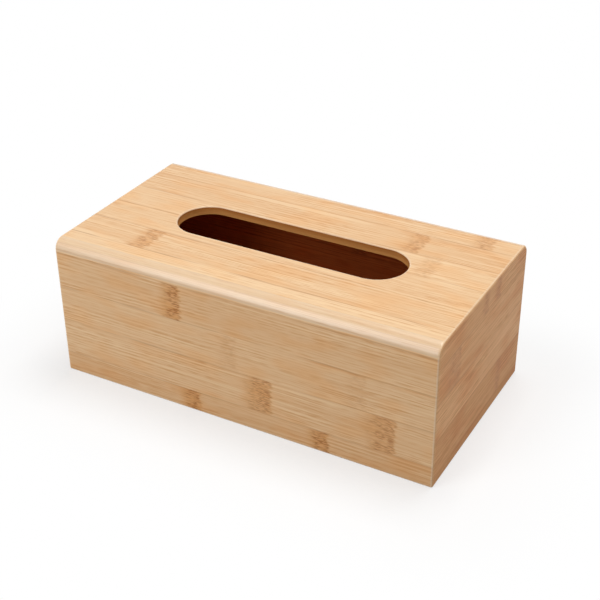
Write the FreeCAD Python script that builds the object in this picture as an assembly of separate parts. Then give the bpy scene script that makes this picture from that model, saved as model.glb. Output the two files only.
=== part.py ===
import FreeCAD, Part
import math
import os

# Tissue box cover of edge-glued bamboo strips, in millimetres.
# Five boards meet in mitres: a slotted top, a front, a back and two ends.
# A base board runs in grooves in the front and the back, and slides out to the left.
# The origin is the middle of the underside, X is the length, +Y is the back and +Z is up.

# Outside of the box
length = 230.0
depth = 120.0
height = 85.0

# Boards and the edges of the finished box
board = 5.0             # thickness of the top, front, back and end boards
edge_round = 6.5        # round-over along the front and the back edge of the top
arris = 1.2             # easing of every other outer edge

# Slot for the tissues, a straight slot with round ends in the middle of the top
slot_length = 140.0
slot_width = 35.0
slot_ease = 0.7         # easing of its upper rim

# Bamboo strips: the outer ones of a board were sawn to fit, and whole ones share the room between
top_back_strip = 19.5
top_front_strip = 14.7
slot_back_margin = 1.55     # bamboo between the slot and the glue line behind it
slot_front_margin = 6.35    # bamboo between the slot and the glue line in front of it
front_top_strip = 7.5
front_bottom_strip = 13.15
back_top_strip = 10.0
back_bottom_strip = 10.65
end_top_strip = 14.0
right_bottom_strip = 6.65
base_back_strip = 19.0
base_front_strip = 9.6

# Sliding base, its grooves and the rail that closes the left end under it
base_thickness = 4.0
groove_depth = 2.5
groove_floor = 3.0      # height of the groove's lower face above the underside
clearance = 0.3         # room between the base and everything that it slides past
rail_lift = 0.5         # the rail clears the table by this much

half_length = length / 2
half_depth = depth / 2
base_top = groove_floor + base_thickness
groove_top = base_top + clearance
base_half_width = half_depth - board + groove_depth - clearance


def block(low, high):
    """Solid between two opposite corners."""
    low = FreeCAD.Vector(low)
    size = FreeCAD.Vector(high) - low
    return Part.makeBox(size.x, size.y, size.z, low)


def mitred_blank(outer, inner):
    """Solid between the rectangles of a board's outer and inner face, with flat sloped edges."""
    outlines = [outer, inner]
    for number in range(4):
        following = (number + 1) % 4
        outlines.append([outer[number], outer[following], inner[following], inner[number]])
    faces = []
    for corners in outlines:
        points = [FreeCAD.Vector(corner) for corner in corners]
        faces.append(Part.Face(Part.makePolygon(points + points[:1])))
    shell = Part.makeShell(faces)
    shell.sewShape()
    return Part.makeSolid(shell)


def rectangle_across_x(x, half_y, low_z, high_z):
    """Corners of a rectangle in a plane square to the length."""
    return [(x, -half_y, low_z), (x, half_y, low_z), (x, half_y, high_z), (x, -half_y, high_z)]


def rectangle_across_y(y, half_x, low_z, high_z):
    """Corners of a rectangle in a plane parallel to the front."""
    return [(-half_x, y, low_z), (half_x, y, low_z), (half_x, y, high_z), (-half_x, y, high_z)]


def rectangle_across_z(z, half_x, half_y):
    """Corners of a rectangle in a level plane."""
    return [(-half_x, -half_y, z), (half_x, -half_y, z), (half_x, half_y, z), (-half_x, half_y, z)]


def outer_form():
    """The whole box as one block, with its rounded and eased edges, that trims every board."""
    form = block((-half_length, -half_depth, 0), (half_length, half_depth, height))
    for radius, low_z, high_z in ((edge_round, height / 2, height), (arris, 0, height / 2)):
        long_edges = []
        for edge in form.Edges:
            whole_length = edge.BoundBox.XLength > half_length
            if whole_length and low_z <= edge.CenterOfMass.z <= high_z:
                long_edges.append(edge)
        form = form.makeFillet(radius, long_edges)
    end_edges = []
    for edge in form.Edges:
        if edge.BoundBox.XLength < arris:
            end_edges.append(edge)
    return form.makeFillet(arris, end_edges)


def slot_cutter():
    """The slot's round-ended prism, standing past both faces of the top board."""
    radius = slot_width / 2
    straight = slot_length / 2 - radius
    low = height - 2 * board
    tall = 3 * board
    cutter = block((-straight, -radius, low), (straight, radius, low + tall))
    for x in (-straight, straight):
        cutter = cutter.fuse(Part.makeCylinder(radius, tall, FreeCAD.Vector(x, 0, low)))
    return cutter.removeSplitter()


def top_board(form):
    """Slotted top, mitred on all four sides, with the slot's rim eased."""
    outer = rectangle_across_z(height, half_length, half_depth)
    inner = rectangle_across_z(height - board, half_length - board, half_depth - board)
    top = mitred_blank(outer, inner).common(form).cut(slot_cutter())
    rim = []
    for edge in top.Edges:
        extent = edge.BoundBox
        level_with_top = extent.ZLength < arris and extent.ZMin > height - arris / 2
        beside_slot = extent.YMin > -slot_width and extent.YMax < slot_width
        between_ends = extent.XMin > -half_length + 2 * arris and extent.XMax < half_length - 2 * arris
        if level_with_top and beside_slot and between_ends:
            rim.append(edge)
    return top.makeFillet(slot_ease, rim)


def long_board(form, side):
    """Front (side -1) or back (side 1), mitred at both ends and the top, grooved for the base."""
    outer = rectangle_across_y(side * half_depth, half_length, 0, height)
    inner_face = half_depth - board
    inner = rectangle_across_y(side * inner_face, half_length - board, 0, height - board)
    groove_sides = sorted((side * inner_face, side * (inner_face + groove_depth)))
    low = (-half_length, groove_sides[0], groove_floor)
    high = (half_length, groove_sides[1], groove_top)
    return mitred_blank(outer, inner).common(form).cut(block(low, high))


def end_board(form, side, low_z):
    """Right (side 1) or left (side -1) end, mitred on three edges, standing from low_z up."""
    outer = rectangle_across_x(side * half_length, half_depth, low_z, height)
    inner = rectangle_across_x(side * (half_length - board), half_depth - board, low_z, height - board)
    return mitred_blank(outer, inner).common(form)


def base_board():
    """Level board whose long edges lie in the grooves, from the rail to the right end board."""
    low = (-half_length + board, -base_half_width, groove_floor)
    high = (half_length - board - clearance, base_half_width, base_top)
    return block(low, high)


def base_rail(form):
    """Rail glued across the base's left end, mitred to clear the front and the back board."""
    mitre_room = clearance * math.sqrt(2)
    outer = rectangle_across_x(-half_length, half_depth - mitre_room, rail_lift, base_top)
    inner_half = half_depth - board - mitre_room
    inner = rectangle_across_x(-half_length + board, inner_half, rail_lift, base_top)
    return mitred_blank(outer, inner).common(form)


def shared_lines(high, low, strips):
    """Places of the glue lines around a number of equal strips, from high down to low."""
    width = (high - low) / strips
    return [high - number * width for number in range(strips + 1)]


def save_strips(name, whole, across, places):
    """Slice a board square to one axis, from its highest place down, and save each strip."""
    beyond = length + depth + height
    for number in range(1, len(places)):
        low = FreeCAD.Vector(-beyond, -beyond, -beyond)
        high = FreeCAD.Vector(beyond, beyond, beyond)
        setattr(high, across, places[number - 1])
        setattr(low, across, places[number])
        strip = whole.common(block(low, high))
        strip.exportStep("parts/%s_strip_%d.step" % (name, number))


os.makedirs("parts", exist_ok=True)
whole_box = outer_form()

# The top's two middle strips hold the slot, and meet half way between its two glue lines
behind_slot = slot_width / 2 + slot_back_margin
before_slot = -slot_width / 2 - slot_front_margin
top_lines = [half_depth, half_depth - top_back_strip]
top_lines += shared_lines(behind_slot, before_slot, strips=2)
top_lines += [top_front_strip - half_depth, -half_depth]
save_strips("top", top_board(whole_box), "y", top_lines)

front_lines = [height] + shared_lines(height - front_top_strip, front_bottom_strip, strips=3) + [0]
save_strips("front", long_board(whole_box, -1), "z", front_lines)

back_lines = [height] + shared_lines(height - back_top_strip, back_bottom_strip, strips=3) + [0]
save_strips("back", long_board(whole_box, 1), "z", back_lines)

right_lines = [height] + shared_lines(height - end_top_strip, right_bottom_strip, strips=3) + [0]
save_strips("right_end", end_board(whole_box, 1, 0), "z", right_lines)

left_lines = [height] + shared_lines(height - end_top_strip, groove_top, strips=3)
save_strips("left_end", end_board(whole_box, -1, groove_top), "z", left_lines)

base_low = base_front_strip - base_half_width
base_lines = shared_lines(base_half_width - base_back_strip, base_low, strips=4)
save_strips("base", base_board(), "y", [base_half_width] + base_lines + [-base_half_width])
base_rail(whole_box).exportStep("parts/base_rail.step")
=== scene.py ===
import math

import bmesh
import bpy
import numpy as np
from mathutils import Matrix, Vector


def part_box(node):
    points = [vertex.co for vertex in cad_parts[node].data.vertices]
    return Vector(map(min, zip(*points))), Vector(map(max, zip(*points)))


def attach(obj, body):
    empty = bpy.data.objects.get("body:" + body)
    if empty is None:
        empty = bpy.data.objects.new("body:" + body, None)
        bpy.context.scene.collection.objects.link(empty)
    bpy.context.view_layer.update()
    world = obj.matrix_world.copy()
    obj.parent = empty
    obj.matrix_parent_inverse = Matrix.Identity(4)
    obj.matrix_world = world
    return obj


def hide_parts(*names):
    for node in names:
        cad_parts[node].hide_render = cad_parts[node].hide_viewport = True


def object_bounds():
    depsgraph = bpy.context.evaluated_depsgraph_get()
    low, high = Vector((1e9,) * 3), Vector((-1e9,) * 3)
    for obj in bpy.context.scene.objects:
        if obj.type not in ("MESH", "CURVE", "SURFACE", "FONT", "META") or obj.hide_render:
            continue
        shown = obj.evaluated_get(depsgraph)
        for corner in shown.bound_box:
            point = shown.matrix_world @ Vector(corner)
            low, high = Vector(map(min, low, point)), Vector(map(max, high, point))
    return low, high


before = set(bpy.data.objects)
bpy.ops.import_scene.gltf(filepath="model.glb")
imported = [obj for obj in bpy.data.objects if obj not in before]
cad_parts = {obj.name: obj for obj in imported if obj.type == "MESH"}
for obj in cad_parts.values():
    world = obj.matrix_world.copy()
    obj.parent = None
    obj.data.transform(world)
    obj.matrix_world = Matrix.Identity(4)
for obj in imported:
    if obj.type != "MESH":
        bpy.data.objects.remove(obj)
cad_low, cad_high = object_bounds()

# Top board, its four plain strips
# Strips of bamboo lie side by side along the length and are glued edge to edge, then planed, mitred to the
# other boards, rounded over along the front and the back, sanded and given a satin lacquer.
mm = 0.001
tiny = 1e-7
half_length, half_depth, height = cad_high
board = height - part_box("top_strip_2")[0].z
# A mitred strip ends half way round the bend at its edge, short of the square corner by a share of the radius
mitre_share = 1 - math.sqrt(0.5)
edge_round = (half_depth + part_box("top_strip_6")[0].y) / mitre_share
arris = (half_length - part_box("top_strip_2")[1].x) / mitre_share
# A row of points this far before a bend keeps the flat face flat
support = 0.6 * mm
# Points round the bend of an arris and of a round-over
arris_steps, round_steps = 6, 13


def bend_corner(first, second, radius):
    """Square corner to quarter disc, for two distances out of the corner's inner point.

    Both are scaled so that the larger one becomes the straight distance. The bend is whole at the radius
    and fades to nothing at the inner face of the boards, or at the inner point where that is nearer.
    """
    larger = np.maximum(first, second)
    inside = np.maximum(radius - board, 0)
    fade = np.clip((larger - inside) / (radius - inside), 0, 1)
    straight = np.maximum(np.hypot(first, second), tiny)
    scale = np.where((first > 0) & (second > 0), 1 + fade * (larger / straight - 1), 1)
    return first * scale, second * scale


def ease_edges(points):
    """Rounds and eases the edges of the square box, with whatever of the boards lies near them.

    The section across the length gets its rounded corners first: the long top edges their round-over, the
    long bottom edges an arris. Then the edge round each end is eased, in the plane of two depths: that under
    the rounded section's outline and that behind the end face. The other two results are 1 where the surface
    is a polished round-over, and 1 where it is an arris, whose paler colour is partly wear and partly a
    painted highlight.
    """
    x, y, z = np.moveaxis(points, -1, 0)
    middle = height / 2
    upward = np.where(z > middle, 1, -1)
    radius = np.where(z > middle, edge_round, arris)
    out_y = np.abs(y) - half_depth + radius
    out_z = np.abs(z - middle) - middle + radius
    in_corner = (out_y > tiny) & (out_z > tiny)
    out_y, out_z = bend_corner(out_y, out_z, radius)
    reach = np.where(in_corner, np.hypot(out_y, out_z), np.maximum(out_y, out_z))
    facing_y = np.where(in_corner, out_y / np.maximum(reach, tiny), out_y >= out_z)
    facing_z = np.where(in_corner, out_z / np.maximum(reach, tiny), out_y < out_z)
    near_side = arris - radius + reach
    near_end = arris - half_length + np.abs(x)
    at_end = (near_side > tiny) & (near_end > tiny)
    bent_side, bent_end = bend_corner(near_side, near_end, arris)
    drop = near_side - bent_side
    eased_x = np.sign(x) * (half_length - arris + bent_end)
    eased_y = np.sign(y) * (half_depth - radius + out_y - drop * facing_y)
    eased_z = middle + upward * (middle - radius + out_z - drop * facing_z)
    polished = in_corner & ~at_end & (radius > arris) & (reach > radius - tiny)
    # The arrises take a pale colour in the materials, partly wear and partly a painted highlight
    worn_and_highlit = (in_corner & (radius <= arris)) | at_end
    return np.stack([eased_x, eased_y, eased_z], -1), polished.astype(float), worn_and_highlit.astype(float)


def bend_lines(edge, radius, steps):
    """Places where a square face is divided so that its edge bends in even turns, and one just before."""
    turns = np.tan(np.linspace(0, math.pi / 4, steps))
    return np.concatenate([[edge - radius - support], edge - radius + radius * turns])


def both_ways(places):
    """The places and their mirror images, in rising order."""
    return np.unique(np.concatenate([-places, places]))


def rows_between(low, high, lines):
    """The two bounds of a strip with the lines that fall between them."""
    inner = lines[(lines > low + tiny) & (lines < high - tiny)]
    return np.concatenate([[low], inner, [high]])


def carried(outer, inner, places, half_run, mitre):
    """Section of a strip carried along the grain, as along, across and depth for each place and point.

    The section is the outer face's rows at no depth, then the inner points, which are across and depth pairs.
    Every point moves out to its share of the half run, which is shorter by the point's depth where the ends
    are mitred, so that the end faces slope.
    """
    face = np.stack([outer, np.zeros_like(outer)], -1)
    section = np.concatenate([face, np.array(inner, float)])
    run = half_run - mitre * section[:, 1]
    along = np.outer(places / half_run, run)
    across, depth = np.broadcast_to(section.T[:, None, :], (2,) + along.shape)
    return np.stack([along, across, depth], -1)


def strip_piece(name, local, origin, axes, facts, materials, on_box=True, rim=0.0, wall=()):
    """Closed skin over rings of points, with a face on each end, as one object with its fibre coordinates.

    A point in the frame is the board's origin plus along, across and depth times the board's three axes. The
    fibre attribute is the same three measures, as they were before the box's edges were eased, so that the
    grain runs on round them. The polished attribute tells the round-overs, and the second attribute the
    arrises and the rim, which are paler partly from wear and partly by a painted highlight. Faces at the
    inner depth take the second material, those between the wall's rows the third.
    """
    points = origin + local @ axes
    stations, around = local.shape[:2]
    polished = worn_and_highlit = np.zeros((stations, around))
    if on_box:
        points, polished, worn_and_highlit = ease_edges(points)
    worn_and_highlit = np.maximum(worn_and_highlit, rim)
    ring = np.arange(stations * around).reshape(stations, around)
    following = np.roll(ring, -1, axis=1)
    quads = np.stack([ring[:-1], following[:-1], following[1:], ring[1:]], -1).reshape(-1, 4)
    ends = [ring[0, ::-1].tolist(), ring[-1].tolist()]
    mesh = bpy.data.meshes.new(name)
    mesh.from_pydata(points.reshape(-1, 3).tolist(), [], quads.tolist() + ends)
    finish = (local[..., 2].reshape(-1)[quads] > board - tiny).all(1).astype(np.int32)
    finish[np.isin(np.arange(len(quads)) % around, wall)] = 2
    for material in materials:
        mesh.materials.append(material)
    if len(materials) > 1:
        mesh.polygons.foreach_set("material_index", np.append(finish, [0, 0]).astype(np.int32))
    mesh.attributes.new("fibre", "FLOAT_VECTOR", "POINT").data.foreach_set("vector", local.ravel())
    mesh.attributes.new("polished", "FLOAT", "POINT").data.foreach_set("value", polished.ravel())
    mesh.attributes.new("worn_and_highlit", "FLOAT", "POINT").data.foreach_set("value", worn_and_highlit.ravel())
    skin = bmesh.new()
    skin.from_mesh(mesh)
    bmesh.ops.recalc_face_normals(skin, faces=skin.faces)
    skin.to_mesh(mesh)
    skin.free()
    sharp_angle = math.radians(30)
    mesh.shade_smooth()
    mesh.set_sharp_from_angle(angle=sharp_angle)
    piece = bpy.data.objects.new(name, mesh)
    bpy.context.scene.collection.objects.link(piece)
    for fact, value in facts.items():
        piece[fact] = float(value)
    return piece


def strip_facts(low, high, seed, tone, knots=(), strength=0.0, knot_width=16 * mm, glue=0.3):
    """What tells one strip's bamboo from another's: its grain, tone, knots and where its glue lines are."""
    nowhere = 9.0
    seed_start, seed_step = 0.37, 1.7
    knot_1, knot_2 = (list(knots) + [nowhere, nowhere])[:2]
    return {"seed": seed_start + seed_step * seed, "tone": tone, "knot_1": knot_1, "knot_2": knot_2,
            "knot_strength": strength, "knot_width": knot_width, "middle": (low + high) / 2,
            "half_width": (high - low) / 2, "glue": glue}


def linear(colour):
    """Linear colour with alpha from an sRGB hex value."""
    shares = np.array([int(colour[place:place + 2], 16) for place in (1, 3, 5)]) / 255
    low = shares / 12.92
    high = ((shares + 0.055) / 1.055) ** 2.4
    return (*np.where(shares > 0.04045, high, low), 1.0)


def add_node(material, kind, inputs, **settings):
    """One node with its settings, and with a value or a link on each input that is named or numbered.

    A node that is given as a value stands for the first of its outputs that is in use.
    """
    node = material.node_tree.nodes.new(kind)
    for setting, value in settings.items():
        setattr(node, setting, value)
    for place, value in inputs.items():
        if isinstance(value, bpy.types.Node):
            value = next(output for output in value.outputs if output.enabled)
        if isinstance(value, bpy.types.NodeSocket):
            material.node_tree.links.new(value, node.inputs[place])
        else:
            node.inputs[place].default_value = value
    return node


def fibre_noise(material, along, around, seed):
    """Noise drawn out along the fibre, as clouds by name that are each spread from 0 to 1.

    A cloud is given by its length along the fibre and its width across it in millimetres, its octaves, and
    the two noise values that become 0 and 1. The seed sets each strip's clouds apart from the others'.
    """
    endless = 1e4
    # The dashes and the hatch are ends of fibre bundles, drawn coarser than their real 0.4 mm to show
    clouds = {"streaks": (110, 1.0, 2, 0.34, 0.66),
              "dashes": (9, 0.7, 2, 0.34, 0.66),
              "drift": (300, 9, 1, 0.30, 0.70),
              "calm": (60, 10, 1, 0.38, 0.62),
              "slow": (120, 8, 2, 0.30, 0.70),
              "warmth": (32, 12, 2, 0.46, 0.70),
              "hatch": (3.6, 0.65, 2, 0.41, 0.59),
              "blotch": (5, 3.5, 1, 0.10, 0.60),
              "fray": (endless, 1.6, 2, 0.30, 0.70),
              "line": (30, endless, 2, 0.36, 0.64)}
    strip_step = (11.3, 7.9, 0)
    flat = add_node(material, "ShaderNodeCombineXYZ", {0: along, 1: around})
    apart = add_node(material, "ShaderNodeVectorMath", {0: strip_step, "Scale": seed}, operation="SCALE")
    noise = {}
    for name, (length, width, octaves, low, high) in clouds.items():
        per_metre = (1 / (length * mm), 1 / (width * mm), 0)
        scaled = add_node(material, "ShaderNodeVectorMath", {0: flat, 1: per_metre, 2: apart},
                          operation="MULTIPLY_ADD")
        cloud = add_node(material, "ShaderNodeTexNoise",
                         {"Vector": scaled, "Scale": 1.0, "Detail": octaves - 1, "Roughness": 0.5},
                         noise_dimensions="2D")
        noise[name] = add_node(material, "ShaderNodeMapRange",
                               {"Value": cloud, "From Min": low, "From Max": high})
    return noise


def grain_depth(material, noise, around, tone):
    """How dark the grain is, from 0 to 1: pin lines, streaks and dashes, faint in calm places, on the tone.

    The pin lines are a sine across the fibre. Their spacing drifts and their strength follows the dashes.
    """
    pin_spacing, pin_drift = 2.4 * mm, 14.0
    faint_pins, strong_pins = 0.08, 0.34
    streak_share, dash_share, slow_share = 0.40, 0.32, 0.06
    calm_lines, lines_middle, middle_depth = 0.50, 0.35, 0.38
    turn = add_node(material, "ShaderNodeMath", {0: around, 1: 2 * math.pi / pin_spacing},
                    operation="MULTIPLY")
    turn = add_node(material, "ShaderNodeMath", {0: noise["drift"], 1: pin_drift, 2: turn},
                    operation="MULTIPLY_ADD")
    wave = add_node(material, "ShaderNodeMath", {0: turn}, operation="SINE")
    beat = add_node(material, "ShaderNodeMapRange",
                    {"Value": noise["dashes"], "To Min": faint_pins, "To Max": strong_pins})
    lines = add_node(material, "ShaderNodeMath", {0: wave, 1: beat, 2: -lines_middle},
                     operation="MULTIPLY_ADD")
    lines = add_node(material, "ShaderNodeMath", {0: noise["streaks"], 1: streak_share, 2: lines},
                     operation="MULTIPLY_ADD")
    lines = add_node(material, "ShaderNodeMath", {0: noise["dashes"], 1: dash_share, 2: lines},
                     operation="MULTIPLY_ADD")
    lined = add_node(material, "ShaderNodeMapRange",
                     {"Value": noise["calm"], "To Min": calm_lines, "To Max": 1.0})
    slow = add_node(material, "ShaderNodeMath", {0: noise["slow"], 1: slow_share, 2: tone},
                    operation="MULTIPLY_ADD")
    depth = add_node(material, "ShaderNodeMath", {0: lines, 1: lined, 2: slow}, operation="MULTIPLY_ADD")
    return add_node(material, "ShaderNodeMath", {0: depth, 1: middle_depth}, operation="ADD", use_clamp=True)


def knot_band(material, along, noise, fact):
    """Where a strip's two knots are, from 0 to 1: bands across it, sharp on one side and fading on the other.

    The fray shifts the band from fibre to fibre. It is whole over a core, and fades out over the rest.
    """
    fray_length, sharpness, core_share = 2.6 * mm, 1.0 * mm, 0.4
    fray = add_node(material, "ShaderNodeMath", {0: noise["fray"], 1: -fray_length}, operation="MULTIPLY")
    core = add_node(material, "ShaderNodeMath", {0: fact["knot_width"], 1: core_share}, operation="MULTIPLY")
    bands = []
    for knot in ("knot_1", "knot_2"):
        before = add_node(material, "ShaderNodeMath", {0: fact[knot], 1: along}, operation="SUBTRACT")
        before = add_node(material, "ShaderNodeMath", {0: before, 1: fray}, operation="ADD")
        rise = add_node(material, "ShaderNodeMapRange",
                        {"Value": before, "From Min": fact["knot_width"], "From Max": core},
                        interpolation_type="SMOOTHSTEP")
        stop = add_node(material, "ShaderNodeMapRange",
                        {"Value": before, "From Min": -sharpness, "From Max": sharpness},
                        interpolation_type="SMOOTHSTEP")
        bands.append(add_node(material, "ShaderNodeMath", {0: rise, 1: stop}, operation="MULTIPLY"))
    return add_node(material, "ShaderNodeMath", {0: bands[0], 1: bands[1]}, operation="MAXIMUM")


def glue_line(material, across, fact):
    """Where a strip's two glued edges are, from 0 to 1: a ramp over the last part of its half width."""
    line_width, ramp_start = 0.2 * mm, 0.8 * mm
    off = add_node(material, "ShaderNodeMath", {0: across, 1: fact["middle"]}, operation="SUBTRACT")
    off = add_node(material, "ShaderNodeMath", {0: off}, operation="ABSOLUTE")
    inside = add_node(material, "ShaderNodeMath", {0: fact["half_width"], 1: off}, operation="SUBTRACT")
    return add_node(material, "ShaderNodeMapRange",
                    {"Value": inside, "From Min": ramp_start, "From Max": line_width})


def bamboo(name, pale, dark, warm, knot_pale, knot_dark, edge, roughness, shine, warming=0.4):
    """Bamboo cut along the fibre, as layers of colour, each over those before it by a product of shares.

    The grain darkens the pale wood, and warmer patches lie over it. The knots tint it, and brown dashes hatch
    their middles. Glue lines the strip's long edges. The round-overs are painted greyer, which tones down
    their highlight, under a clear coat, and the arrises are paler, partly from wear and partly by a painted
    highlight.
    """
    tint_share, highlight_grey_share, wear_and_highlight_share = 0.7, 0.4, 0.35
    # A greyer tone painted on the round-overs, where it tones down their highlight
    highlight_grey = "#D4B794"
    coat_roughness, coat_ior = 0.28, 1.7
    smoother, rougher = 0.03, 0.05
    material = bpy.data.materials.new(name)
    material.use_nodes = True
    material.node_tree.nodes.clear()
    fibre = add_node(material, "ShaderNodeAttribute", {}, attribute_name="fibre").outputs["Vector"]
    polished = add_node(material, "ShaderNodeAttribute", {}, attribute_name="polished").outputs["Fac"]
    worn_and_highlit = add_node(material, "ShaderNodeAttribute", {}, attribute_name="worn_and_highlit").outputs["Fac"]
    fact = {}
    for key in strip_facts(0, 0, 0, 0):
        node = add_node(material, "ShaderNodeAttribute", {}, attribute_name=key, attribute_type="OBJECT")
        fact[key] = node.outputs["Fac"]

    along, across, inward = add_node(material, "ShaderNodeSeparateXYZ", {0: fibre}).outputs
    around = add_node(material, "ShaderNodeMath", {0: across, 1: inward}, operation="ADD")
    noise = fibre_noise(material, along, around, fact["seed"])
    depth = grain_depth(material, noise, around, fact["tone"])
    band = knot_band(material, along, noise, fact)
    line = glue_line(material, across, fact)
    strength = fact["knot_strength"]
    # The last layer paints the arrises paler, partly for wear and partly as a painted highlight
    layers = [(dark, "MIX", [depth]),
              (warm, "MULTIPLY", [noise["warmth"], warming]),
              (knot_pale, "MIX", [band, strength, tint_share]),
              (knot_dark, "MIX", [band, band, band, strength, noise["hatch"], noise["blotch"]]),
              (knot_dark, "MIX", [line, noise["line"], fact["glue"]]),
              (highlight_grey, "MIX", [polished, highlight_grey_share]),
              (edge, "MIX", [worn_and_highlit, wear_and_highlight_share])]
    wood = linear(pale)
    for colour, blend, shares in layers:
        share = shares[0]
        for factor in shares[1:]:
            share = add_node(material, "ShaderNodeMath", {0: share, 1: factor}, operation="MULTIPLY")
        wood = add_node(material, "ShaderNodeMix", {0: share, 6: wood, 7: linear(colour)},
                        data_type="RGBA", blend_type=blend)

    bump = add_node(material, "ShaderNodeBump", {"Height": depth, "Strength": 0.06, "Distance": 0.2 * mm})
    rough = add_node(material, "ShaderNodeMapRange",
                     {"Value": depth, "To Min": roughness - smoother, "To Max": roughness + rougher})
    shader = add_node(material, "ShaderNodeBsdfPrincipled",
                      {"Base Color": wood, "Roughness": rough, "IOR": 1.5, "Specular IOR Level": shine,
                       "Coat Weight": polished, "Coat Roughness": coat_roughness, "Coat IOR": coat_ior,
                       "Normal": bump})
    add_node(material, "ShaderNodeOutputMaterial", {"Surface": shader})
    return material


# Satin lacquer over sanded bamboo: honey-coloured, with a soft broad highlight on the rounded edges,
# which are painted greyer, and with pale arrises that are partly wear and partly a painted highlight
lacquered_bamboo = bamboo("lacquered_bamboo", pale="#FBD7AA", dark="#E0AB76", warm="#FFE8C8",
                          knot_pale="#DE9A52", knot_dark="#A05A1E", edge="#FFE8CC", roughness=0.32, shine=0.2)
# The boards' inner faces are left rough and unlacquered. Their darker, redder colour is partly the bare wood
# and partly painted shade of the box's inside
bare_shaded_bamboo = bamboo("bare_shaded_bamboo", pale="#C46834", dark="#A04A1E", warm="#FFD8AC",
                     knot_pale="#B05A2A", knot_dark="#904420", edge="#B07A4C", roughness=0.60, shine=0.1)
case_bamboo = [lacquered_bamboo, bare_shaded_bamboo]

along_x = np.array([[1.0, 0, 0], [0, 1, 0], [0, 0, -1]])
length_places = both_ways(np.append(bend_lines(half_length, arris, arris_steps), 0))
top_glue_lines = [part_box("top_strip_%d" % number)[0].y for number in range(1, 6)]
top_lines = np.array([half_depth] + top_glue_lines + [-half_depth])
top_bends = both_ways(bend_lines(half_depth, edge_round, round_steps))
top_origin = np.array([0, 0, height])
# The top's front strip has the lightest tone
top_grain = {1: {"tone": 0.00, "knots": [102 * mm], "strength": 0.45},
             2: {"tone": 0.10, "knots": [68 * mm], "strength": 0.45},
             5: {"tone": 0.02, "knots": [-64 * mm], "strength": 0.55, "glue": 0.5},
             6: {"tone": -0.22, "glue": 0.4}}

for number, grain in top_grain.items():
    node = "top_strip_%d" % number
    high, low = top_lines[number - 1:number + 1]
    inner = [(high - board * (number == 1), board), (low + board * (number == 6), board)]
    local = carried(rows_between(low, high, top_bends), inner, length_places, half_length, mitre=1)
    facts = strip_facts(low, high, seed=number, **grain)
    piece = strip_piece("bamboo_" + node, local, top_origin, along_x, facts, case_bamboo)
    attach(piece, "case")
    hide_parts(node)

# Top board, the two strips with the slot
# The same bamboo, sawn out to a straight slot with round ends that the tissues are pulled through.
# The rim is eased with a small round-over, and the wall shows the strips' thickness.
slot_radius = 17.5 * mm
slot_straight = 70 * mm - slot_radius
slot_ease = 0.7 * mm
ring_points, corner_point, rim_steps = 31, 20, 7


def slot_ring(offset, level, side, start, shares):
    """Line round one side of the slot at an offset from its wall: an arc, the straight side and an arc.

    Each arc turns evenly from where the offset line leaves the level start line up to the straight side.
    """
    radius = slot_radius + offset
    first = np.arcsin(start / radius)
    turn = first + shares * (math.pi / 2 - first)
    x = -slot_straight - radius * np.cos(turn)
    y = radius * np.sin(turn)
    x = np.concatenate([x, -x[::-1]])
    y = np.concatenate([y, y[::-1]])
    return np.stack([x, side * y, np.full_like(x, level)], -1)


def outer_ring(half_run, level, side, start, edge, shares, corner):
    """Line round the strip's outside, with as many points: up one end, along the edge and down the other."""
    rise = np.clip(shares / corner, 0, 1)
    over = np.clip((shares - corner) / (1 - corner), 0, 1)
    x = -half_run + over * (half_run - slot_straight)
    y = start + rise * (edge - start)
    x = np.concatenate([x, -x[::-1]])
    y = np.concatenate([y, y[::-1]])
    return np.stack([x, side * y, np.full_like(x, level)], -1)


# The saw and the router leave the slot's wall browner than the faces. It is darkest just under the rim
# and lighter towards the inner face
sawn_bamboo = bpy.data.materials.new("sawn_bamboo")
sawn_bamboo.use_nodes = True
sawn_bamboo.node_tree.nodes.clear()
saw_mark = (20 * mm, 2 * mm, 0.8 * mm)
rim_tone, foot_tone, mark_share = -0.25, 0.65, 0.5
fibre = add_node(sawn_bamboo, "ShaderNodeAttribute", {}, attribute_name="fibre").outputs["Vector"]
inward = add_node(sawn_bamboo, "ShaderNodeSeparateXYZ", {0: fibre}).outputs[2]
wall_grain = add_node(sawn_bamboo, "ShaderNodeVectorMath", {0: fibre, 1: saw_mark}, operation="DIVIDE")
wall_grain = add_node(sawn_bamboo, "ShaderNodeTexNoise", {"Vector": wall_grain, "Scale": 1.0, "Detail": 2.0},
                      noise_dimensions="3D")
wall_tone = add_node(sawn_bamboo, "ShaderNodeMapRange",
                  {"Value": inward, "From Min": slot_ease, "From Max": board,
                   "To Min": rim_tone, "To Max": foot_tone})
wall_tone = add_node(sawn_bamboo, "ShaderNodeMath", {0: wall_grain, 1: mark_share, 2: wall_tone},
                  operation="MULTIPLY_ADD", use_clamp=True)
wall_colour = add_node(sawn_bamboo, "ShaderNodeMix", {0: wall_tone, 6: linear("#B06A30"), 7: linear("#E4A660")},
                       data_type="RGBA")
wall_shader = add_node(sawn_bamboo, "ShaderNodeBsdfPrincipled",
                       {"Base Color": wall_colour, "Roughness": 0.55, "IOR": 1.5, "Specular IOR Level": 0.12})
add_node(sawn_bamboo, "ShaderNodeOutputMaterial", {"Surface": wall_shader})

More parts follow.
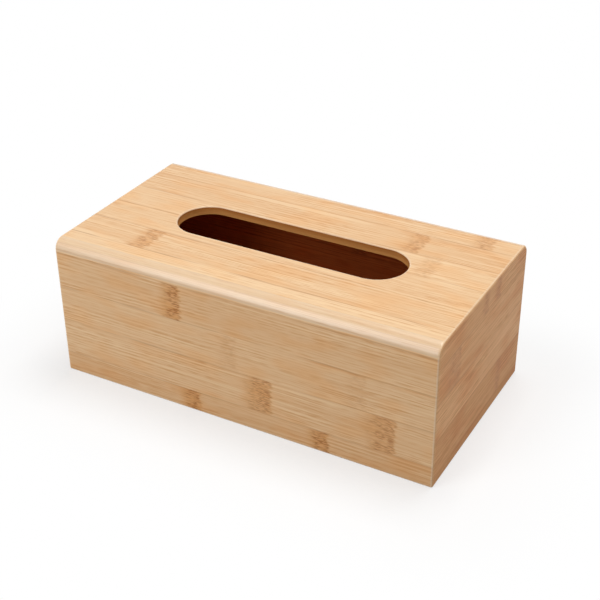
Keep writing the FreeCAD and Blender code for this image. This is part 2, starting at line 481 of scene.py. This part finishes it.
shares = np.linspace(0, 1, ring_points)
corner = shares[corner_point]
rim_turns = np.linspace(0, math.pi / 2, rim_steps)
end_bend = bend_lines(half_length, arris, arris_steps)
slot_grain = {3: {"tone": -0.05, "knots": [85 * mm], "strength": 0.22}, 4: {"tone": -0.02}}
for number, side in ((3, 1), (4, -1)):
    node = "top_strip_%d" % number
    high, low = top_lines[number - 1:number + 1]
    start, edge = (low, high) if side > 0 else (-high, -low)
    rings = [slot_ring(0, board, side, start, shares)]
    for turn in rim_turns:
        offset = slot_ease * (1 - math.cos(turn))
        level = slot_ease * (1 - math.sin(turn))
        rings.append(slot_ring(offset, level, side, start, shares))
    rings.append(slot_ring(slot_ease + support / 2, 0, side, start, shares))
    rings += [outer_ring(half_run, 0, side, start, edge, shares, corner) for half_run in end_bend]
    rings.append(outer_ring(half_length - board, board, side, start, edge, shares, corner))
    # The rim's rounded rows take the pale arris colour, partly wear and partly a painted highlight
    rim = np.zeros(len(rings))
    rim[2:rim_steps + 1] = 1.0
    facts = strip_facts(low, high, seed=number, **slot_grain[number])
    piece = strip_piece("bamboo_" + node, np.stack(rings, axis=1), top_origin, along_x, facts,
                        case_bamboo + [sawn_bamboo], rim=rim, wall=(0,))
    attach(piece, "case")
    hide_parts(node)

# Front and back boards
# Five strips each, along the length, mitred to the top and the ends and rounded over with the top.
# A groove near the bottom of the inner face holds the edge of the sliding base.
groove_depth = 2.5 * mm
groove_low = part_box("base_strip_1")[0].z
groove_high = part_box("left_end_strip_4")[0].z
groove_floor = board - groove_depth
bottom_bend = bend_lines(0, arris, arris_steps)
wall_bends = np.unique(np.concatenate([-bottom_bend, bend_lines(height, edge_round, round_steps)]))
bottom_edge = [(0, -place) for place in bottom_bend[:-1]]
front_axes = np.array([[1.0, 0, 0], [0, 0, 1], [0, 1, 0]])
back_axes = np.array([[1.0, 0, 0], [0, 0, 1], [0, -1, 0]])
# The front's lowest strip has the darkest tone, so the front is darker towards the bottom
front_grain = {1: {"tone": -0.05},
               2: {"tone": 0.12, "knots": [-32 * mm], "strength": 0.70},
               3: {"tone": 0.05, "knots": [2 * mm, 78 * mm], "strength": 0.15},
               4: {"tone": 0.06, "knots": [23 * mm, 95 * mm], "strength": 0.55, "knot_width": 23 * mm},
               5: {"tone": 0.26, "knots": [-22 * mm, 57 * mm], "strength": 0.75}}
back_grain = {1: {"tone": 0.0, "knots": [51 * mm], "strength": 0.4},
              2: {"tone": 0.1, "knots": [22 * mm], "strength": 0.8},
              3: {"tone": 0.02, "knots": [-83 * mm, 90 * mm], "strength": 0.4},
              4: {"tone": 0.08, "knots": [-18 * mm], "strength": 0.6},
              5: {"tone": 0.0, "knots": [66 * mm], "strength": 0.8}}

for name, axes, wall, grains, first_seed in (("front", front_axes, -half_depth, front_grain, 10),
                                             ("back", back_axes, half_depth, back_grain, 20)):
    lines = [height] + [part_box("%s_strip_%d" % (name, number))[0].z for number in range(1, 5)] + [0]
    for number, grain in grains.items():
        node = "%s_strip_%d" % (name, number)
        high, low = lines[number - 1:number + 1]
        inner = [(high - board * (number == 1), board), (low, board)]
        if number == 5:
            groove = [(groove_high, board), (groove_high, groove_floor)]
            groove += [(groove_low, groove_floor), (groove_low, board)]
            inner = inner[:1] + groove + inner[1:] + bottom_edge
        local = carried(rows_between(low, high, wall_bends), inner, length_places, half_length, mitre=1)
        facts = strip_facts(low, high, seed=first_seed + number, **grain)
        piece = strip_piece("bamboo_" + node, local, np.array([0, wall, 0]), axes, facts, case_bamboo)
        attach(piece, "case")
        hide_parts(node)

# End boards
# Strips across the ends, mitred to the top, the front and the back. They are browner than the long boards.
# The left end stops above the base, so that the base can slide out under it.

# Lacquered bamboo in a browner shade: caramel, with softer knots and hardly any shine
# Its pale arrises are partly wear and partly a painted highlight
brown_bamboo = bamboo("lacquered_brown_bamboo", pale="#F6BB7E", dark="#D19050", warm="#F3DABA",
                      knot_pale="#CC8450", knot_dark="#B46E3A", edge="#FFDCB0", roughness=0.34, shine=0.06,
                      warming=0.7)
end_bamboo = [brown_bamboo, bare_shaded_bamboo]
end_round_steps = 9
right_axes = np.array([[0, 1.0, 0], [0, 0, 1], [-1, 0, 0]])
left_axes = np.array([[0, 1.0, 0], [0, 0, 1], [1, 0, 0]])
end_places = np.concatenate([bend_lines(half_depth, edge_round, end_round_steps),
                             bend_lines(half_depth, arris, arris_steps)])
end_places = both_ways(np.append(end_places, 0))
end_bends = np.unique(np.concatenate([wall_bends, bend_lines(height, arris, arris_steps)]))
# The right end's two lowest strips have the darkest tones, so the end is darker towards the bottom
right_grain = {1: {"tone": 0.10, "knots": [5 * mm, 22 * mm], "strength": 0.45, "knot_width": 11 * mm},
               2: {"tone": 0.02, "knots": [-30 * mm], "strength": 0.35, "knot_width": 24 * mm},
               3: {"tone": -0.05},
               4: {"tone": 0.32, "knots": [33 * mm], "strength": 0.45, "knot_width": 11 * mm},
               5: {"tone": 0.60}}
left_grain = {1: {"tone": 0.1, "knots": [-30 * mm], "strength": 0.5},
              2: {"tone": 0.05, "knots": [28 * mm], "strength": 0.6},
              3: {"tone": 0.0, "knots": [-12 * mm], "strength": 0.5},
              4: {"tone": 0.12, "knots": [41 * mm], "strength": 0.6}}

for name, axes, wall, grains, first_seed in (("right_end", right_axes, half_length, right_grain, 30),
                                             ("left_end", left_axes, -half_length, left_grain, 40)):
    lines = [height] + [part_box("%s_strip_%d" % (name, number))[0].z for number in grains]
    for number, grain in grains.items():
        node = "%s_strip_%d" % (name, number)
        high, low = lines[number - 1:number + 1]
        on_table = low < arris
        inner = [(high - board * (number == 1), board), (low, board)] + bottom_edge * on_table
        local = carried(rows_between(low, high, end_bends), inner, end_places, half_depth, mitre=1)
        facts = strip_facts(low, high, seed=first_seed + number, **grain)
        piece = strip_piece("bamboo_" + node, local, np.array([wall, 0, 0]), axes, facts, end_bamboo)
        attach(piece, "case")
        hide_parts(node)

# Base board
# Six strips along the length make the board that slides in the grooves. It is sanded on both faces and thinly
# lacquered, with square edges.
base_low, base_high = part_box("base_strip_1")
base_thickness = base_high.z - base_low.z
base_half = (base_high.x - base_low.x) / 2
base_axes = np.array([[1.0, 0, 0], [0, 1, 0], [0, 0, 1]])
base_origin = np.array([base_low.x + base_half, 0, base_low.z])
base_places = np.linspace(-base_half, base_half, 3)
# Sanded bamboo under a thin lacquer: duller and more matt than the outside of the case
sanded_bamboo = bamboo("sanded_bamboo", pale="#E8C294", dark="#C89660", warm="#FFE2BE",
                       knot_pale="#CB9860", knot_dark="#9C683A", edge="#F0D2AC", roughness=0.55, shine=0.1)
base_grain = {1: {"tone": 0.0, "knots": [71 * mm]}, 2: {"tone": 0.08, "knots": [-44 * mm]},
              3: {"tone": 0.04, "knots": [19 * mm]}, 4: {"tone": 0.1, "knots": [-88 * mm]},
              5: {"tone": 0.02, "knots": [60 * mm]}, 6: {"tone": 0.06, "knots": [-12 * mm]}}

for number, grain in base_grain.items():
    node = "base_strip_%d" % number
    low, high = (corner.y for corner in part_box(node))
    inner = [(high, base_thickness), (low, base_thickness)]
    local = carried(np.array([low, high]), inner, base_places, base_half, mitre=0)
    facts = strip_facts(low, high, seed=50 + number, strength=0.6, glue=0.4, **grain)
    piece = strip_piece("bamboo_" + node, local, base_origin, base_axes, facts, [sanded_bamboo], on_box=False)
    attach(piece, "base")
    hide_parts(node)

# Base rail
# A bar of the ends' bamboo glued across the base's left end. It fills the room under the left end board, and
# its mitred ends just clear the front and the back.
rail_low, rail_high = (corner.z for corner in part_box("base_rail"))
rail_clearance = 0.3 * mm
rail_half = half_depth - rail_clearance * math.sqrt(2)
rail_places = end_places[np.abs(end_places) < rail_half]
rail_inner = [(rail_high, board), (rail_low, board)]
rail_origin = np.array([-half_length, 0, 0])
local = carried(rows_between(rail_low, rail_high, wall_bends), rail_inner, rail_places, rail_half, mitre=1)
facts = strip_facts(rail_low, rail_high, seed=60, tone=0.08, knots=[20 * mm], strength=0.5, glue=0.0)
rail = strip_piece("bamboo_base_rail", local, rail_origin, left_axes, facts, end_bamboo)
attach(rail, "base")
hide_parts("base_rail")

# Floor
# A wide disc of paper, a hair below the box. It keeps the box's shadow and turns to plain white away from it.
# It can't be seen from below, and straight under the box it lets the room's light through to the underside.
floor_radius, floor_drop = 6.0, 0.05 * mm
floor_rings, floor_sides = 24, 64
near_white, shadow_reach = 0.62, 0.09
radii = (np.arange(1, floor_rings + 1) / floor_rings) ** 2 * floor_radius
turns = np.arange(floor_sides) * 2 * math.pi / floor_sides
floor_points = np.stack([np.outer(radii, np.cos(turns)), np.outer(radii, np.sin(turns)),
                         np.full((floor_rings, floor_sides), -floor_drop)], -1)
index = np.arange(floor_rings * floor_sides).reshape(floor_rings, floor_sides)
after = np.roll(index, -1, axis=1)
floor_quads = np.stack([index[:-1], index[1:], after[1:], after[:-1]], -1).reshape(-1, 4)
floor_mesh = bpy.data.meshes.new("floor")
floor_mesh.from_pydata(floor_points.reshape(-1, 3).tolist(), [], floor_quads.tolist() + [index[0].tolist()])
floor = bpy.data.objects.new("floor", floor_mesh)
bpy.context.scene.collection.objects.link(floor)

# Matt paper: mid grey where it lights the box, and white to the eye and in reflections
paper = bpy.data.materials.new("white_paper")
paper.use_nodes = True
paper.node_tree.nodes.clear()
ray = add_node(paper, "ShaderNodeLightPath", {}).outputs
shown = add_node(paper, "ShaderNodeMath", {0: ray["Is Camera Ray"], 1: ray["Is Glossy Ray"]},
                 operation="MAXIMUM")
shown = add_node(paper, "ShaderNodeMath", {0: shown, 1: ray["Is Transmission Ray"]}, operation="MAXIMUM")
grey = add_node(paper, "ShaderNodeMix", {0: shown, 6: linear("#9A9A9A"), 7: linear("#FFFFFF")},
                data_type="RGBA")
matt = add_node(paper, "ShaderNodeBsdfDiffuse", {"Color": grey})
white = add_node(paper, "ShaderNodeEmission", {"Color": linear("#FFFFFF"), "Strength": 1.0})
clear = add_node(paper, "ShaderNodeBsdfTransparent", {})
place = add_node(paper, "ShaderNodeTexCoord", {}).outputs["Object"]
beside = add_node(paper, "ShaderNodeVectorMath", {0: place}, operation="ABSOLUTE")
beside = add_node(paper, "ShaderNodeVectorMath", {0: beside, 1: (half_length, half_depth, floor_drop)},
                  operation="SUBTRACT")
beside = add_node(paper, "ShaderNodeVectorMath", {0: beside, 1: (0, 0, 0)}, operation="MAXIMUM")
away = add_node(paper, "ShaderNodeVectorMath", {0: beside}, operation="LENGTH")
whiteness = add_node(paper, "ShaderNodeMapRange",
                     {"Value": away, "From Max": shadow_reach, "To Min": near_white, "To Max": 1.0},
                     interpolation_type="SMOOTHERSTEP")
whiten = add_node(paper, "ShaderNodeMath", {0: shown, 1: whiteness}, operation="MULTIPLY")
sheet = add_node(paper, "ShaderNodeMixShader", {0: whiten, 1: matt, 2: white})
below = add_node(paper, "ShaderNodeNewGeometry", {}).outputs["Backfacing"]
under_box = add_node(paper, "ShaderNodeMath", {0: away, 1: tiny}, operation="LESS_THAN")
lit_below = add_node(paper, "ShaderNodeMath", {0: under_box, 1: ray["Is Diffuse Ray"]},
                     operation="MULTIPLY")
below = add_node(paper, "ShaderNodeMath", {0: below, 1: lit_below}, operation="MAXIMUM")
sheet = add_node(paper, "ShaderNodeMixShader", {0: below, 1: sheet, 2: clear})
add_node(paper, "ShaderNodeOutputMaterial", {"Surface": sheet})
floor_mesh.materials.append(paper)

# Light
# A large soft box overhead, a weaker one on the right and a tall one in front on the left, which gives the
# rounded edge its broad highlight. A plain white room is around.
bpy.context.scene.view_settings.view_transform = "Standard"
room_fill = 0.27
room = bpy.data.worlds.new("white_room")
room.use_nodes = True
room.node_tree.nodes.clear()
ray = add_node(room, "ShaderNodeLightPath", {}).outputs
shown = add_node(room, "ShaderNodeMath", {0: ray["Is Camera Ray"], 1: ray["Is Glossy Ray"]},
                 operation="MAXIMUM")
shown = add_node(room, "ShaderNodeMath", {0: shown, 1: ray["Is Transmission Ray"]}, operation="MAXIMUM")
strength = add_node(room, "ShaderNodeMapRange", {"Value": shown, "To Min": room_fill, "To Max": 1.0})
glow = add_node(room, "ShaderNodeBackground", {"Color": linear("#FFFFFF"), "Strength": strength})
add_node(room, "ShaderNodeOutputWorld", {"Surface": glow})
bpy.context.scene.world = room

# Each soft box has a place seen from the middle of the box, a width and a height in metres, and a power
box_middle = Vector((0, 0, height / 2))
length_way = Vector((1, 0, 0))
soft_boxes = {"overhead": (Vector((0.10, 0.25, 1.20)), (0.50, 0.50), 7.25),
              "right": (Vector((0.95, 0.15, 0.45)), (0.60, 0.60), 2.1),
              "front_left": (Vector((-0.41, -0.90, 0.44)), (0.56, 1.10), 5.75)}
for name, (spot, size, power) in soft_boxes.items():
    lamp = bpy.data.lights.new(name, "AREA")
    lamp.shape = "RECTANGLE"
    lamp.size, lamp.size_y = size
    lamp.energy = power
    soft_box = bpy.data.objects.new(name, lamp)
    outward = spot.normalized()
    sideways = (length_way - outward * length_way.dot(outward)).normalized()
    facing = Matrix((sideways, outward.cross(sideways), outward)).transposed()
    soft_box.matrix_world = Matrix.Translation(box_middle + spot) @ facing.to_4x4()
    bpy.context.scene.collection.objects.link(soft_box)

# Camera
# It stands to the right in front of the box and looks down on it, from about 0.7 m away.
image_width = 600
focal_pixels = 1220.286
azimuth, elevation, roll = (math.radians(angle) for angle in (29.194, 30.801, -0.549))
distance, shift_right, shift_up = 0.688276, 0.00525, 0.004162
level_back = Vector((math.sin(azimuth), -math.cos(azimuth), 0))
back = level_back * math.cos(elevation) + Vector((0, 0, math.sin(elevation)))
level_right = Vector((math.cos(azimuth), math.sin(azimuth), 0))
level_up = back.cross(level_right)
right = level_right * math.cos(roll) + level_up * math.sin(roll)
up = level_up * math.cos(roll) - level_right * math.sin(roll)
lens = bpy.data.cameras.new("camera")
lens.lens = focal_pixels * lens.sensor_width / image_width
camera = bpy.data.objects.new("camera", lens)
camera.matrix_world = Matrix((right, up, back)).transposed().to_4x4()
camera.location = box_middle + back * distance + right * shift_right + up * shift_up
bpy.context.scene.collection.objects.link(camera)
bpy.context.scene.camera = camera
